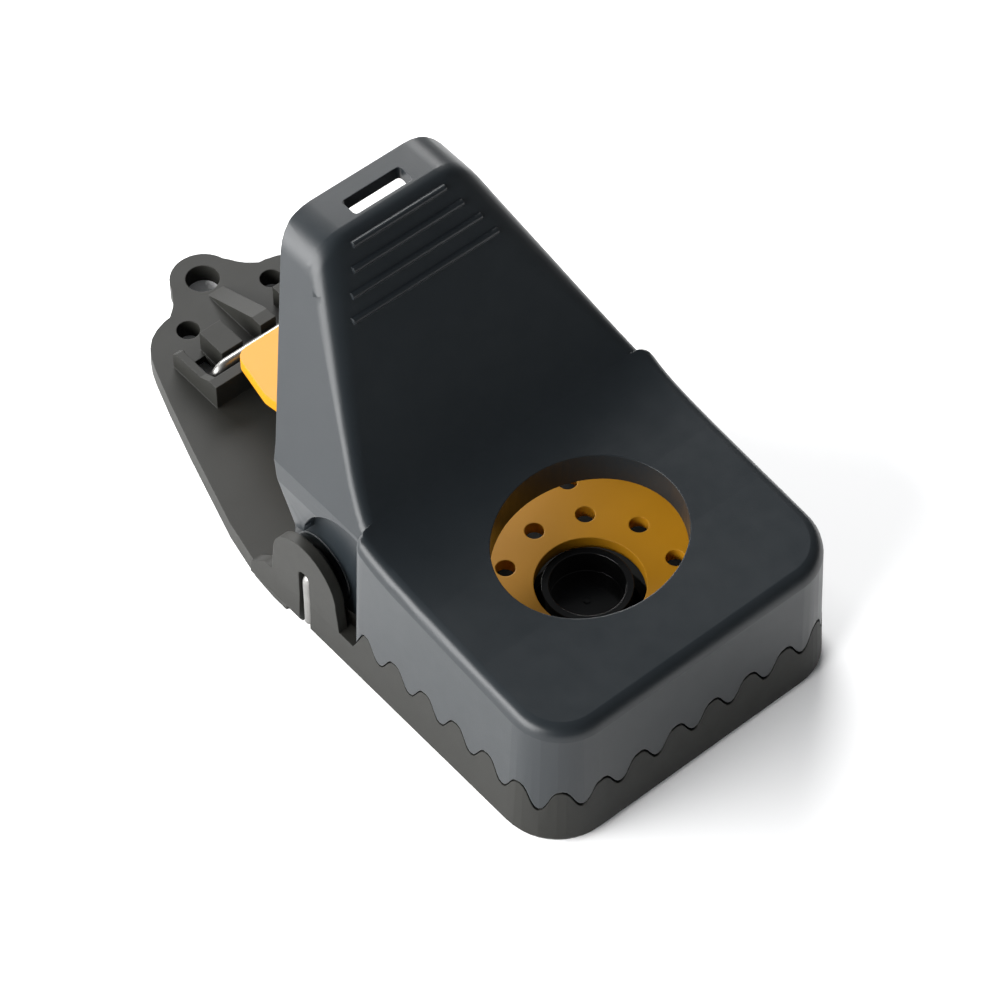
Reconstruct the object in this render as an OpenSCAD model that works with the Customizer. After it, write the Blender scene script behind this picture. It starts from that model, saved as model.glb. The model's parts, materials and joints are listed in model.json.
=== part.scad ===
// Jaw snap trap: a toothed base, a toothed jaw with a setting lever, a trigger plate,
// a bait cup, a steel hinge wire and a steel torsion spring.
// Millimetres. +Z is up, the mouth is at -Y, the hanging tail at +Y, and X is the width.
// Every long, cross and upright place is written for the nominal size and scaled by
// ky, kx and kz, while walls, wires and clearances keep their own values.

/* [Overall size] */
// Length from the mouth to the end of the tail
length = 99.4; // [80:0.2:125]
// Width across the mouth
width = 47.3; // [40:0.1:60]
// Height to the top of the lever
height = 50; // [42:0.5:62]

/* [Shells] */
// Wall of the jaw shell
jaw_wall = 1.9; // [1.4:0.1:2.6]
// Wall of the base rim
base_wall = 2.0; // [1.4:0.1:2.8]
// Thickness of the base floor
floor_t = 1.6; // [1.2:0.1:2.4]
// Radius of the upright front corners
corner_r = 7.8; // [5:0.1:10]
// Gap left between the closed jaws
bite_gap = 0.25; // [0.1:0.05:0.6]

/* [Teeth] */
// Distance from one tooth to the next along the sides
tooth_pitch = 5.55; // [4.8:0.05:6.6]
// Distance from one tooth to the next across the front
front_pitch = 5.7; // [4.8:0.05:6.6]
// Height of a tooth
tooth_h = 2.85; // [2:0.05:3.4]

/* [Window] */
// Width of the oval window in the jaw
window_w = 25.1; // [20:0.1:30]
// Length of the oval window in the jaw
window_l = 20.7; // [16:0.1:24]
// Depth of the collar under the window
collar_h = 4.0; // [2.5:0.1:5]

/* [Wire and clearances] */
// Diameter of the hinge wire
wire_d = 1.4; // [1.1:0.05:1.7]
// Diameter of the spring wire
spring_d = 1.5; // [1.2:0.05:1.7]
// Radial clearance of the hinge wire in its bores
pin_play = 0.05; // [0.03:0.01:0.1]
// Side gap between moving plastic parts
side_gap = 0.25; // [0.2:0.05:0.5]
// Turns of each spring coil
coil_turns = 3; // [2:1:3]

/* [Trigger] */
// Thickness of the trigger plate
plate_t = 1.8; // [1.2:0.1:2.2]
// Radius of the small holes in the trigger plate
spot_r = 1.2; // [0.8:0.05:1.5]
// Radius of the ring on which the small holes lie
spot_ring_r = 10.6; // [9.6:0.1:12]

/* [Bait cup] */
// Outer radius of the cup
cup_r = 5.5; // [4.6:0.1:6]
// Radial play between the cup and the base
cup_play = 0.1; // [0.05:0.05:0.3]

/* [Tail] */
// Radius of the hanging hole
hang_r = 2.2; // [1.5:0.1:2.8]
// Width of material round the hanging hole
hang_rim = 2.05; // [1.6:0.05:3]

/* [Hidden] */
$fn = 48;
kx = width / 47.3;
ky = length / 99.4;
kz = height / 50;
wr = wire_d / 2;
sr = spring_d / 2;
hy = -4.6 * ky;            // hinge axis, long place
hz = 9.4 * kz;             // hinge axis, height
hw = width / 2;            // half width at the floor line
yf = -length / 2;          // front of the mouth
flare = 0.044;             // walls lean in by this much per unit of height
top_slope = 0.091 * kz / ky;
top_front = 20.35 * kz;    // height of the jaw top at the mouth
peak_z = 9.25 * kz;        // top of the base teeth
rim_z = 5.3 * kz;          // top of the base rim behind the teeth
box_rear = -13.6 * ky;     // rear end of the jaw's side walls
ear_in = hw - 1.6;         // inner face of an ear
boss_in = hw - 3.0;        // inner end of the bearing boss on an ear
ear_r = 5.9 * min(ky, kz);
hub_out = boss_in - side_gap;
hub_in = hub_out - 2.0;
hub_r = 5.5 * min(ky, kz);
side_x = 22.0 * kx;        // widest place of the lever's side walls
cup_y = -28.9 * ky;
pedal_y = -29.9 * ky;
cup_top = 12.9 * kz;
plate_top = 13.7 * kz;
floor_z = 1.8;
deck_top = 2.8;
deck_t = 1.0;              // plate of the rear deck
deck_front = hy + 3.6;
cross_y = 30.4 * ky;       // cross wire of the spring
cross_z = 5.6;
loop_x = 9.8 * kx;         // bends at the ends of the cross wire
leg_x = loop_x + 0.2;         // rear legs of the spring
arm_x = 16.6 * kx;         // arms of the spring inside the lever
coil_r = wr + pin_play + 0.15 + sr;
flange_r = 8.0;
flange_t = 1.3;
tail_r = hang_r + hang_rim;
tail_y = length / 2 - tail_r;
pin_out = hw - 0.9;        // middle of the hinge wire's bent ends
bend_r = 1.0;
bend_x = pin_out - bend_r; // where the hinge wire starts to bend
bridge_top = 6.7;

// ---------- shared outlines ----------

// One tooth: distance along the edge and drop, as parts of the pitch and of the tooth height.
tooth = [[0, 0], [0.1, -0.07], [0.18, -0.27], [0.243, -0.5], [0.31, -0.75], [0.38, -0.93],
         [0.47, -1], [0.56, -0.93], [0.63, -0.74], [0.694, -0.5], [0.76, -0.25], [0.85, -0.06]];
// How the edge falls from the first tooth to the rim behind it.
lead = [[0.06, -0.02], [0.11, -0.12], [0.18, -0.43], [0.27, -0.83], [0.36, -1.2]];

// The bite line runs along the left side, round the front and back along the right side.
// Its place s is 0 where the left corner starts.
arc = corner_r * PI / 2;
front = 2 * (hw - corner_r);
s_first = yf + corner_r + 15.9 * ky;
s_end = 2 * arc + front - s_first;
s_back = yf + corner_r - box_rear - 6;

// Point of the mouth's outline at the place s, set in by o.
function edge_pt(s, o) =
    let (c = hw - corner_r, y = yf + corner_r, r = corner_r - o)
    s <= 0 ? [-c - r, y - s]
    : s <= arc ? [-c - r * cos(90 * s / arc), y - r * sin(90 * s / arc)]
    : s <= arc + front ? [-c + s - arc, y - r]
    : s <= 2 * arc + front ? let (t = 90 * (s - arc - front) / arc) [c + r * sin(t), y - r * cos(t)]
    : [c + r, y + s - 2 * arc - front];

// Places and pitches of the teeth. The tooth on each corner is the longest.
function steps(s) =
    let (p = s < arc ? tooth_pitch : front_pitch)
    s + p > s_end ? [[s, 0, 0]]
    : let (mid = abs(s + p / 2 - arc - front / 2) - arc / 2 - front / 2)
      concat([[s, p, abs(mid) < p / 2 ? 1.25 : 1]], steps(s + p));

teeth = steps(s_first);
last = teeth[len(teeth) - 1][0];
bite_line = concat(
    [[s_back, rim_z], [s_first - 0.42 * tooth_pitch, rim_z]],
    [for (i = [len(lead) - 1:-1:0]) [s_first - lead[i][0] * tooth_pitch, peak_z + lead[i][1] * tooth_h]],
    [for (k = teeth) if (k[1] > 0) for (t = tooth) [k[0] + t[0] * k[1], peak_z + t[1] * k[2] * tooth_h]],
    [[last, peak_z]],
    [if (s_end - last > 0.1) [s_end, peak_z]],
    [for (v = lead) [s_end + v[0] * tooth_pitch, peak_z + v[1] * tooth_h]],
    [[s_end + 0.42 * tooth_pitch, rim_z], [2 * arc + front - s_back, rim_z]]);

// Band along the bite line between the line, lifted by g and moved along by m, and the height zt.
module bite_band(g, m, zt) {
    n = len(bite_line);
    line = [for (p = bite_line) [p[0] + m, p[1] + g]];
    d = max(jaw_wall, base_wall) + 1.2;
    pts = [for (p = line) for (q = [[-0.8, p[1]], [d, p[1]], [d, zt], [-0.8, zt]])
           let (e = edge_pt(p[0], q[0])) [e[0], e[1], q[1]]];
    sides = [for (i = [0:n - 2]) for (k = [0:3])
             let (a = 4 * i + k, b = 4 * i + (k + 1) % 4)
             each (zt < line[0][1] ? [[a, b, b + 4], [a, b + 4, a + 4]]
                                   : [[b, a, b + 4], [b + 4, a, a + 4]])];
    e = 4 * (n - 1);
    caps = zt < line[0][1] ? [[0, 3, 2, 1], [e, e + 1, e + 2, e + 3]]
                           : [[0, 1, 2, 3], [e, e + 3, e + 2, e + 1]];
    polyhedron(points = pts, faces = concat(sides, caps), convexity = 12);
}

// One thin slice of the mouth's outline, set in by o, from the front to the place yr.
module slice(o, z, yr) {
    r = corner_r - o;
    for (s = [-1, 1]) {
        translate([s * (hw - corner_r), yf + corner_r, z])
            cylinder(r = r, h = 0.02, $fn = 44);
        translate([s * (hw - o - 1) - 1, yr - 1, z])
            cube([2, 1, 0.02]);
    }
}

// ---------- base ----------

// Right half of the rear outline, from the ears to the neck of the tail.
rear_half = [[hw, -13 * ky], [hw, 1.5 * ky], [23.35 * kx, 5.4 * ky], [22.0 * kx, 12 * ky],
             [20.1 * kx, 18.4 * ky], [18.1 * kx, 25 * ky], [15.8 * kx, 32.1 * ky], [14.0 * kx, 37.2 * ky],
             [13.2 * kx, 39.1 * ky], [12.3 * kx, 40.6 * ky], [11.2 * kx, 41.7 * ky], [9.8 * kx, 42.5 * ky],
             [8.2 * kx, 43.0 * ky], [6.6 * kx, 43.2 * ky]];
function flip(h) = [for (i = [len(h) - 1:-1:0]) [-h[i][0], h[i][1]]];

module rear_outline(o) {
    offset(delta = -o)
        polygon(concat(rear_half, flip(rear_half)));
}

module ear_profile(r) {
    translate([hy, hz])
        circle(r = r);
    polygon([[hy - r - 0.9, 2], [hy + r + 0.9, 2], [hy + r, hz], [hy - r, hz]]);
}

module base_front() {
    difference() {
        hull() {
            slice(0.5, 0, box_rear + 4);
            slice(0.02, 0.9, box_rear + 4);
            slice(flare * 12, peak_z + 1, box_rear + 4);
        }
        bite_band(0, 0, 40);
        translate([0, 0, -1])
            linear_extrude(floor_z + 1)
                offset(delta = -base_wall)
                    mouth_outline(0, box_rear + 8);
        translate([0, 0, floor_z + floor_t])
            linear_extrude(20)
                offset(delta = -base_wall - 0.3)
                    mouth_outline(0, box_rear + 8);
    }
}

module mouth_outline(o, yr) {
    hull() {
        for (s = [-1, 1])
            translate([s * (hw - corner_r), yf + corner_r])
                circle(r = corner_r - o);
        translate([-hw + o, yr - 1])
            square([2 * (hw - o), 1]);
    }
}

// Rear deck: a flat plate with walls along its edge that lean in a little.
module deck() {
    difference() {
        hull() {
            linear_extrude(0.9)
                rear_outline(0.03);
            translate([0, 0, deck_top - 0.02])
                linear_extrude(0.02)
                    rear_outline(0.12);
        }
        translate([-hw - 1, -20 * ky, -1])
            cube([width + 2, deck_front + 20 * ky, 20]);
        translate([0, 0, -1])
            linear_extrude(deck_top - deck_t + 1)
                difference() {
                    rear_outline(base_wall);
                    translate([-hw, deck_front - 10])
                        square([width, 11.6]);
                    translate([-hw, tail_y - tail_r - 3])
                        square([width, 20]);
                }
    }
}

// Tail lobe with hollow necks, as thick as the deck and flush with it.
module tail() {
    k = tail_r / 4.25;
    neck = [[7.6, -3.2], [7.2, -2.45], [6.55, -1.95], [5.8, -1.3], [5.15, -0.5], [4.6, 0.4], [4.1, 1.1]];
    half = [for (p = neck) [p[0] * k, p[1] * k]];
    translate([0, tail_y, 0])
        linear_extrude(deck_top) {
            circle(r = tail_r);
            polygon(concat(half, flip(half)));
        }
}

module ears() {
    for (s = [-1, 1]) {
        translate([s > 0 ? ear_in : -hw + 0.25, 0, 0])
            rotate([90, 0, 90])
                linear_extrude(hw - ear_in - 0.25)
                    ear_profile(ear_r);
        // bearing boss for the hinge wire
        translate([s > 0 ? boss_in : -ear_in - 0.2, hy, hz])
            rotate([0, 90, 0])
                cylinder(r = 3.1, h = ear_in + 0.2 - boss_in);
    }
}

// Side rims that join the mouth, the ears and the deck. They lean in as the mouth's walls do.
module side_rims() {
    intersection() {
        translate([-hw - 1, 0, 0])
            rotate([90, 0, 90])
                linear_extrude(width + 2)
                    polygon([[box_rear - 0.4, 0], [box_rear - 0.4, rim_z], [3.2 * ky, rim_z],
                             [5.9 * ky, deck_top - 0.01], [5.9 * ky, 0]]);
        translate([0, 6 * ky, 0])
            rotate([90, 0, 0])
                linear_extrude(24 * ky)
                    for (s = [-1, 1])
                        polygon([[s * ear_in, 0], [s * (hw - 0.5), 0], [s * (hw - 0.02), 0.9],
                                 [s * (hw - 0.26), rim_z + 0.1], [s * ear_in, rim_z + 0.1]]);
    }
}

// Bridge that holds the cross wire of the spring.
module bridge() {
    bx = 11.8 * kx;
    y0 = 27.3 * ky;
    y1 = 36.2 * ky;
    seat = cross_z - sr - 0.02;
    for (s = [-1, 1]) {
        translate([s > 0 ? bx - 1.1 : -bx, 0, 0])
            rotate([90, 0, 90])
                linear_extrude(1.1)
                    polygon([[y0, deck_top - 0.8], [y0, bridge_top], [y0 + 1.5, bridge_top],
                             [y0 + 3.2, 5.9], [y1 - 0.8, 5.9], [y1, 5.2], [y1, deck_top - 0.8]]);
        translate([s > 0 ? 4.2 * kx : -7.5 * kx, cross_y + sr + 0.5, deck_top - 0.8])
            cube([3.3 * kx, 4.6 * ky, 4.1]);
    }
    translate([-bx, y0, deck_top - 0.8])
        cube([2 * bx, 1.5, bridge_top - deck_top + 0.8]);
    translate([-7.5 * kx, y0, deck_top - 0.8])
        cube([15 * kx, cross_y - y0 + 1.6, seat - deck_top + 0.8]);
    // ramp from the tail up to the bridge
    translate([1.2, 0, 0])
        rotate([90, 0, -90])
            linear_extrude(2.4)
                polygon([[-cross_y - 1.4, 2], [-cross_y - 1.4, 6.6], [-cross_y - 3.2, 6.6],
                         [-tail_y + 2.7, deck_top + 0.05], [-tail_y + 2.7, 2]]);
}

module base_tray() {
    color([0.23, 0.23, 0.22])
    difference() {
        union() {
            base_front();
            translate([0, 0, floor_z])
                linear_extrude(floor_t)
                    offset(delta = -0.6)
                        mouth_outline(0, deck_front + 1.3);
            translate([0, cup_y, floor_z])
                difference() {
                    cylinder(r = cup_r + 2.8, h = floor_t + 3.4);
                    translate([0, 0, -1])
                        cylinder(r = cup_r + cup_play, h = 12);
                    translate([0, 0, floor_t - 0.01])
                        cylinder(r = cup_r + 1.6, h = 12);
                }
            deck();
            tail();
            ears();
            side_rims();
            bridge();
            // cross wall that joins the floor and the deck
            translate([-ear_in, deck_front, floor_z])
                cube([2 * ear_in, 1.6, floor_t]);
            // skirt under the cross wall
            for (x = [-ear_in, -4, ear_in - 8])
                translate([x, deck_front, 0])
                    cube([8, 1.6, floor_z + 1]);
        }
        // room for the jaw hubs beside the ears
        for (s = [-1, 1])
            translate([s > 0 ? hub_in - 0.6 : -boss_in, hy, hz])
                rotate([0, 90, 0])
                    cylinder(r = hub_r + 0.3, h = boss_in - hub_in + 0.6);
        // bores for the hinge wire and slots for its bent ends
        translate([-hw - 1, hy, hz])
            rotate([0, 90, 0])
                cylinder(r = wr + pin_play, h = width + 2);
        for (s = [-1, 1])
            translate([s > 0 ? bend_x : -hw - 1, 0, 0])
                rotate([90, 0, 90])
                    linear_extrude(hw + 1 - bend_x)
                        union() {
                            translate([hy, hz])
                                circle(r = wr + 0.35);
                            translate([hy - wr - 0.35, -1])
                                square([wire_d + 0.7, hz + 1]);
                        }
        // keys of the bait cup pass through two notches in the floor
        for (a = [50, 230])
            translate([0, cup_y, floor_z - 1])
                rotate([0, 0, a])
                    translate([0, -1.6, 0])
                        cube([cup_r + 1.4, 3.2, floor_t + 1.01]);
        // slots where the spring legs go under the deck
        for (s = [-1, 1])
            translate([s * leg_x - sr - 0.4, deck_front - 0.5, -1])
                cube([spring_d + 0.8, 9, 12]);
        // pockets where the spring legs come up, and the two round moulding holes
        for (s = [-1, 1]) {
            translate([s > 0 ? loop_x - 2.1 : -loop_x - 1.0, cross_y - 1.5, -1])
                cube([3.1, 6.2 * ky, 12]);
            translate([s * 6.7 * kx, 39.8 * ky, -1])
                cylinder(r = 1.5, h = 12, $fn = 28);
        }
        // hole for the bait cup
        translate([0, cup_y, -1])
            cylinder(r = cup_r + cup_play, h = floor_z + floor_t + 2);
        // hanging hole
        translate([0, tail_y, -1])
            cylinder(r = hang_r, h = 12);
    }
}

// ---------- jaw and lever ----------

function lever_w(z) = (12.87 + (45.35 * kz - z) * 0.416 / kz) * kx;

// The jaw's top and the front of the lever are two slopes joined by one smooth swoop: a
// hyperbola of their heights a and b, (a + b) / 2 + sqrt(((a - b) / 2)^2 + q^2).
swoop_q = 2.7 * kz;
swoop_y = -38 * ky;
function jaw_top(y) = top_front + top_slope * (y - yf);
function swoop(y) =
    let (a = jaw_top(y) - 0.25 * kz, b = (35.8 + (y / ky + 4.35) * 1.3605) * kz)
    y < swoop_y + 0.01 ? jaw_top(y) : (a + b) / 2 + sqrt((a - b) * (a - b) / 4 + swoop_q * swoop_q);

lever_rear = [[12.6, 50], [12.5, 49.2], [12.35, 48.9], [3.0, 26.3], [1.65, 22],
              [-0.1, 18.7], [-1.6, 15.9]];

function sc(p) = [for (v = p) [v[0] * ky, v[1] * kz]];

// Side outline of the lever, set in by o, for the hollow.
module lever_side(o) {
    front = [for (y = [-19.5:1.2:-3.5]) [y * ky, swoop(y * ky)]];
    offset(delta = -o)
        polygon(concat(front, sc([[5.7, 49.6], [6.9, 50]]), sc(lever_rear),
                [[-1.6 * ky, 11 * kz], [-13.6 * ky, 11 * kz], [-19.5 * ky, 20 * kz]]));
}

// Solid through outlines at places along Y: st = [[y, [[x, z], ...]], ...], all of one length.
module loft(st) {
    m = len(st[0][1]);
    n = len(st);
    z = (n - 1) * m;
    pts = [for (v = st) for (p = v[1]) [p[0], v[0], p[1]]];
    skin = [for (i = [0:n - 2]) for (k = [0:m - 1])
            let (a = i * m + k, b = i * m + (k + 1) % m)
            each [[a, b + m, a + m], [a, b, b + m]]];
    ends = [for (k = [0:m / 2 - 2])
            each [[m - 1 - k, m - 2 - k, k + 1], [m - 1 - k, k + 1, k],
                  [z + k, z + k + 1, z + m - 2 - k], [z + k, z + m - 2 - k, z + m - 1 - k]]];
    polyhedron(points = pts, faces = concat(skin, ends), convexity = 6);
}

// Section of the jaw at the place y: leaning walls, rounded top edges; set in by o, narrowed by e.
function box_half(y, o, e) =
    let (t = swoop(y) - o, z0 = top_slope * (y - yf))
    [for (v = [[3 * flare, z0 - t], [19 * flare, -1.68], [19 * flare + 0.13, -1.08], [20 * flare + 0.45, -0.48],
               [20 * flare + 0.95, -0.12], [20 * flare + 1.6, 0]]) [hw - v[0] - o - e, t + v[1]]];
box_run = [for (y = [-38, -35, -32.5, -30, -28, -26, -24, -22.2, -20.6, -19.2, -18, -16.8, -15.7, -14.8]) [y, 0]];
box_end = [[-14.3, 0.08], [-13.95, 0.3], [-13.72, 0.62], [-13.6, 1.0]];

module swoop_box(o, run) {
    loft([for (v = run) let (h = box_half(v[0] * ky, o, v[1])) [v[0] * ky, concat(h, flip(h))]]);
}

// Section of the lever at the place y: its rounded edges grow from the shoulders to the top.
lever_top = [[5.2, 49.1], [5.6, 49.48], [6.0, 49.75], [6.5, 49.94], [7.1, 50], [12.6, 50]];
lever_run = concat([for (y = [-15.2, -14.2]) [y * ky, swoop(y * ky) - 0.1]],
    [for (y = [-13.6, -12.6, -11.6, -10.6, -9.6, -8.5, -7.2, -5.5, -3, 0, 3]) [y * ky, swoop(y * ky)]],
    [for (v = lever_top) [v[0] * ky, v[1] * kz]]);
function lever_half(t) =
    let (r = (2.2 + (t / kz - 26) * 0.158) * kz, a0 = 22.6, cx = lever_w(t - r) - r / 0.923)
    concat([[side_x, 10 * kz], [side_x, 21.5 * kz]],
           [let (z = min(24.2 * kz, t - r + r * sin(a0) - 0.05)) [lever_w(z), z]],
           [for (i = [0:6]) let (a = a0 + (90 - a0) * i / 6) [cx + r * cos(a), t - r + r * sin(a)]]);

module lever_body() {
    intersection() {
        loft([for (v = lever_run) let (h = lever_half(v[1])) [v[0], concat(h, flip(h))]]);
        translate([-40, 0, 0])
            rotate([90, 0, 90])
                linear_extrude(80)
                    polygon(concat(sc(lever_rear), sc([[-1.6, 9], [-20, 9], [-20, 51], [12.6, 51]])));
    }
}

// Outline of the lever from the front, as (x, z), set in by o, for the hollow.
module lever_face(o) {
    half = concat([[side_x, 10 * kz], [side_x, 21.5 * kz], [lever_w(24.2 * kz), 24.2 * kz]],
           [for (i = [0:8]) let (a = 22.6 + 67.4 * i / 8)
            [(6.93 + 6 * cos(a)) * kx, (44 + 6 * sin(a)) * kz]]);
    offset(delta = -o)
        polygon(concat(half, flip(half)));
}

module lever_solid(o, oy) {
    intersection() {
        translate([-40, 0, 0])
            rotate([90, 0, 90])
                linear_extrude(80)
                    lever_side(oy);
        translate([0, 60, 0])
            rotate([90, 0, 0])
                linear_extrude(120)
                    lever_face(o);
    }
}

// Shear that makes the jaw top rise towards the lever.
module rise() {
    multmatrix([[1, 0, 0, 0], [0, 1, 0, 0], [0, top_slope, 1, -yf * top_slope], [0, 0, 0, 1]])
        children();
}

module jaw_box() {
    rise()
        hull() {
            slice(flare * 3, 0, swoop_y);
            slice(flare * 19, top_front - 1.7, swoop_y);
            slice(flare * 19 + 0.13, top_front - 1.1, swoop_y);
            slice(flare * 20 + 0.45, top_front - 0.5, swoop_y);
            slice(flare * 20 + 0.95, top_front - 0.14, swoop_y);
            slice(flare * 20 + 1.6, top_front - 0.02, swoop_y);
        }
    swoop_box(0, concat(box_run, box_end));
}

module jaw_cavity() {
    rise()
        hull() {
            slice(jaw_wall + flare * 3, -1, box_rear + 2);
            slice(jaw_wall + flare * 19, top_front - jaw_wall - 0.6, box_rear + 2);
            slice(jaw_wall + flare * 20 + 0.6, top_front - jaw_wall, box_rear + 2);
        }
    swoop_box(jaw_wall + 0.06, box_run);
}

module window_oval(o) {
    translate([0, -29.2 * ky, 0])
        scale([(window_w / 2 - o) / 10, (window_l / 2 - o) / 10, 1])
            cylinder(r = 10, h = 60, $fn = 72);
}

// Side plate that carries the hub, as (y, z).
module hub_plate() {
    translate([hy, hz])
        circle(r = hub_r);
    polygon([[box_rear - 1, rim_z + 1.6], [box_rear - 1, 22.5 * kz], [2.4 * ky, 25 * kz],
             [1.65 * ky, 22 * kz], [-0.1 * ky, 18.7 * kz], [hy + hub_r * 0.98, hz + 1], [hy, hz],
             [hy - 3, hz - hub_r + 1.2]]);
}

module lever_hollow() {
    translate([0, 2.0 * ky, 0])
        lever_solid(jaw_wall, jaw_wall);
    // keep the hollow open to the rear
    intersection() {
        translate([0, 60, 0])
            rotate([90, 0, 0])
                linear_extrude(120)
                    lever_face(jaw_wall);
        translate([-40, 0, 0])
            rotate([90, 0, 90])
                linear_extrude(80)
                    polygon(sc([[8.4, 47.9], [14, 47.9], [16, 44], [3, 10], [-8, 10], [-8, 22],
                                [-9.6, 25.2], [-8.2, 27.6], [-4.2, 32.9], [-1.6, 36.4]]));
    }
    // room over the mouth and under the swoop
    translate([-hub_in, box_rear - 1, 5])
        cube([2 * hub_in, hy - box_rear + 6, 15.6 * kz]);
}

module grip_ribs() {
    run = [[48.8, 6.9], [46.7, 8.2], [44.6, 9.7], [42.5, 10.9]];
    for (v = run)
        translate([0, (-4.35 + (v[0] - 36.15) * 0.738) * ky, v[0] * kz])
            rotate([0, 90, 0])
                cylinder(r = 0.45, h = 2 * v[1] * kx, center = true, $fn = 12);
}

module jaw_lever() {
    color([0.17, 0.19, 0.21])
    difference() {
        union() {
            difference() {
                union() {
                    jaw_box();
                    lever_body();
                }
                difference() {
                    jaw_cavity();
                    // collar round the window
                    intersection() {
                        window_oval(-1.7);
                        rise()
                            translate([-30, yf, top_front - collar_h])
                                cube([60, length, 10]);
                    }
                }
                lever_hollow();
                // the ears and their arcs
                for (s = [-1, 1])
                    translate([s > 0 ? hub_out : -hub_out - 6, 0, 0])
                        rotate([90, 0, 90])
                            linear_extrude(6)
                                intersection() {
                                    union() {
                                        translate([hy, hz])
                                            circle(r = ear_r + 1.0);
                                        translate([-11.6 * ky, 15.2 * kz])
                                            circle(r = 8.5 * min(ky, kz));
                                        translate([box_rear, -2])
                                            square([30, 15.2 * kz + 2]);
                                    }
                                    translate([box_rear + 0.01, -5])
                                        square([60, 60]);
                                }
                // nothing below the sides behind the mouth
                translate([-hub_out - 0.01, box_rear + 0.01, -5])
                    cube([2 * hub_out + 0.02, 60, 5 + 13 * kz]);
            }
            // hub plates with a low boss
            for (s = [-1, 1]) {
                translate([s > 0 ? hub_in : -hub_out, 0, 0])
                    rotate([90, 0, 90])
                        linear_extrude(hub_out - hub_in)
                            hub_plate();
                translate([s > 0 ? hub_out - 0.01 : -hub_out - 0.14, hy, hz])
                    rotate([0, 90, 0])
                        cylinder(r = hub_r - 0.6, h = 0.15);
            }
            // catch rib across the lever
            translate([0, 8.6 * ky, 42.3 * kz])
                rotate([-22, 0, 0])
                    translate([-lever_w(42) + 1, -5.6, -0.8])
                        cube([2 * lever_w(42) - 2, 5.4, 1.6]);
            grip_ribs();
        }
        // bite line
        intersection() {
            bite_band(bite_gap, 0.04, -10);
            translate([-hw - 5, yf - 5, -20])
                cube([width + 10, box_rear + 0.01 - yf + 5, 60]);
        }
        // window
        window_oval(0);
        // slot through the top of the lever
        translate([-4.3 * kx, 7.5 * ky, 44 * kz])
            linear_extrude(10)
                offset(r = 0.5)
                    offset(delta = -0.5)
                        square([8.6 * kx, 2.6 * ky]);
        // bores for the hinge wire
        translate([-hw - 1, hy, hz])
            rotate([0, 90, 0])
                cylinder(r = wr + pin_play, h = width + 2);
    }
}

// ---------- trigger ----------

tongue_y = 28.9 * ky;
tongue_top = bridge_top + 0.1 + plate_t;

// The pedal ends where the arm still meets its disc, also in a longer trap.
pedal_r = 17 * min(kx, ky);
pedal_end = min(-14 * ky, pedal_y + pedal_r - 1);
// Slope of the arm from the pedal to the tongue.
arm_slope = (tongue_top - plate_top) / (tongue_y - pedal_end + 1);

module pedal_outline() {
    intersection() {
        translate([0, pedal_y])
            circle(r = pedal_r, $fn = 72);
        translate([-20 * kx, -45.1 * ky])
            square([40 * kx, 45.1 * ky + pedal_end]);
    }
}

module arm_outline() {
    hull() {
        translate([-8 * kx, pedal_end - 0.8])
            square([16 * kx, 10]);
        translate([-8 * kx, 2 * ky])
            square([16 * kx, 2]);
    }
    hull() {
        translate([-8 * kx, 3 * ky])
            square([16 * kx, 1]);
        for (s = [-1, 1])
            translate([s * 6.6 * kx, 20.5 * ky])
                circle(r = 2.6 * kx);
        for (s = [-1, 1])
            translate([s * 5.6 * kx, tongue_y - 2.2])
                circle(r = 2.2);
    }
}

module trigger_plate() {
    color([0.85, 0.66, 0.16])
    difference() {
        union() {
            translate([0, 0, plate_top - plate_t])
                linear_extrude(plate_t)
                    difference() {
                        pedal_outline();
                        translate([0, (pedal_y + cup_y) / 2])
                            circle(r = cup_r + 1.2);
                    }
            // sloping arm and tongue
            multmatrix([[1, 0, 0, 0], [0, 1, 0, 0],
                        [0, arm_slope, 1, plate_top - plate_t - (pedal_end - 1) * arm_slope], [0, 0, 0, 1]])
                linear_extrude(plate_t)
                    arm_outline();
            // clips that hold the hinge wire
            for (s = [-1, 1])
                translate([s * 5 * kx - 1.5, hy, hz])
                    rotate([90, 0, 90])
                        linear_extrude(3)
                            difference() {
                                union() {
                                    circle(r = wr + pin_play + 1.2);
                                    translate([-1.4, 0])
                                        square([2.8, clip_top - hz]);
                                }
                                translate([-wr * 0.8, -5])
                                    square([wr * 1.6, 5]);
                            }
        }
        translate([-8 * kx - 5, hy, hz])
            rotate([0, 90, 0])
                cylinder(r = wr + pin_play, h = 16 * kx + 10);
        // ring of small holes and the two by the arm
        for (i = [0:9])
            translate([0, pedal_y, 0])
                rotate([0, 0, 90 + 36 * i])
                    translate([spot_ring_r, 0, plate_top - plate_t - 1])
                        cylinder(r = spot_r, h = plate_t + 2, $fn = 28);
        for (s = [-1, 1])
            translate([s * 7.9 * kx, -16.2 * ky, plate_top - plate_t - 2])
                cylinder(r = spot_r, h = plate_t + 4, $fn = 28);
    }
}

clip_top = plate_top + arm_slope * (hy - pedal_end + 1) - 0.4;

// ---------- bait cup ----------

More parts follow.
